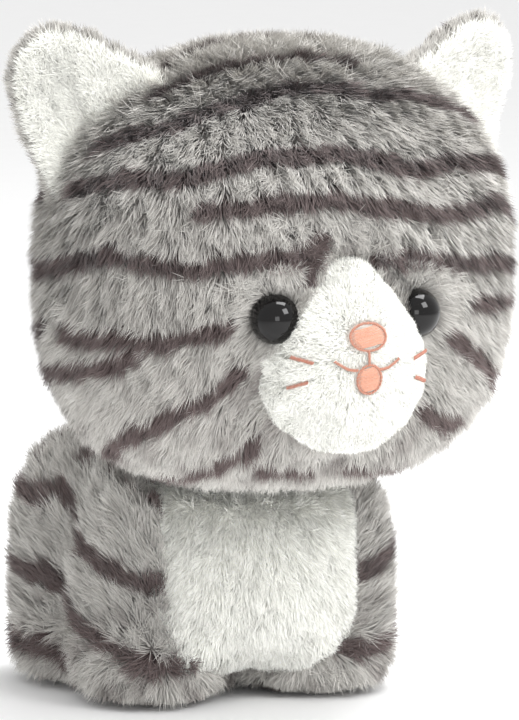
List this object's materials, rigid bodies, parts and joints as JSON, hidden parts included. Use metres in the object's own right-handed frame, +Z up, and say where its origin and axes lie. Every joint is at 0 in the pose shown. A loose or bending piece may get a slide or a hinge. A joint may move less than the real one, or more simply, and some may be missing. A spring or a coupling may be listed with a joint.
{
  "type": "plush cat",
  "caption": "Plush cat with a large round head, white muzzle and chest, striped grey pile, upright ears and stub legs, as a soft toy.",
  "frame": {"origin": "on the floor under the middle of the cat's bounding box", "axes": "+Z up, the cat faces -Y, its left side is +X"},
  "size_m": [0.165, 0.1888, 0.2024],
  "materials": {
    "striped_plush": "matte",
    "white_plush": "matte",
    "fibre_filling": "matte",
    "pellet_pouch": "matte",
    "eye_black": "gloss",
    "washer_plastic": "satin",
    "pink_thread": "satin",
    "rose_thread": "satin"
  },
  "bodies": {
    "root": {"body_side_left": "striped_plush", "body_side_right": "striped_plush", "chest_panel": "white_plush", "underside_gusset": "striped_plush", "sole_front_left": "striped_plush", "sole_front_right": "striped_plush", "sole_hind_left": "striped_plush", "sole_hind_right": "striped_plush", "body_stuffing": "fibre_filling", "pellet_pouch": "pellet_pouch"},
    "neck": {"neck_stuffing": "fibre_filling"},
    "head": {"head_crown_panel": "striped_plush", "head_side_left": "striped_plush", "head_side_right": "striped_plush", "head_back_panel": "striped_plush", "chin_panel": "striped_plush", "muzzle_patch": "white_plush", "head_stuffing": "fibre_filling", "eye_left": "eye_black", "eye_right": "eye_black", "eye_washer_left": "washer_plastic", "eye_washer_right": "washer_plastic", "nose_embroidery": "pink_thread", "tongue_embroidery": "pink_thread", "mouth_embroidery": "rose_thread", "whisker_stitches": "rose_thread"},
    "ear_left": {"ear_left_outer": "striped_plush", "ear_left_inner": "white_plush"},
    "ear_right": {"ear_right_outer": "striped_plush", "ear_right_inner": "white_plush"},
    "tail": {"tail_cover": "striped_plush", "tail_stuffing": "fibre_filling"}
  },
  "joints": [
    {"name": "head_turn", "type": "hinge", "parent": "root", "child": "neck", "pos_m": [0, -0.0056, 0.07], "axis": [0, 0, 1], "range_deg": [-20, 20], "stiffness_Nm_per_rad": 0.25},
    {"name": "head_nod", "type": "hinge", "parent": "neck", "child": "head", "pos_m": [0, -0.0056, 0.07], "axis": [1, 0, 0], "range_deg": [-7, 7], "stiffness_Nm_per_rad": 1.2},
    {"name": "ear_left_fold", "type": "hinge", "parent": "head", "child": "ear_left", "pos_m": [0.05581, -0.02204, 0.17043], "axis": [0.6103, 0.2221, -0.7604], "range_deg": [-12, 12], "stiffness_Nm_per_rad": 0.05},
    {"name": "ear_right_fold", "type": "hinge", "parent": "head", "child": "ear_right", "pos_m": [-0.05581, -0.02204, 0.17043], "axis": [0.6103, -0.2221, 0.7604], "range_deg": [-12, 12], "stiffness_Nm_per_rad": 0.05},
    {"name": "tail_swing", "type": "hinge", "parent": "root", "child": "tail", "pos_m": [0, 0.0754, 0.038], "axis": [0, 0.9457, -0.3251], "range_deg": [-25, 25], "stiffness_Nm_per_rad": 0.05}
  ]
}
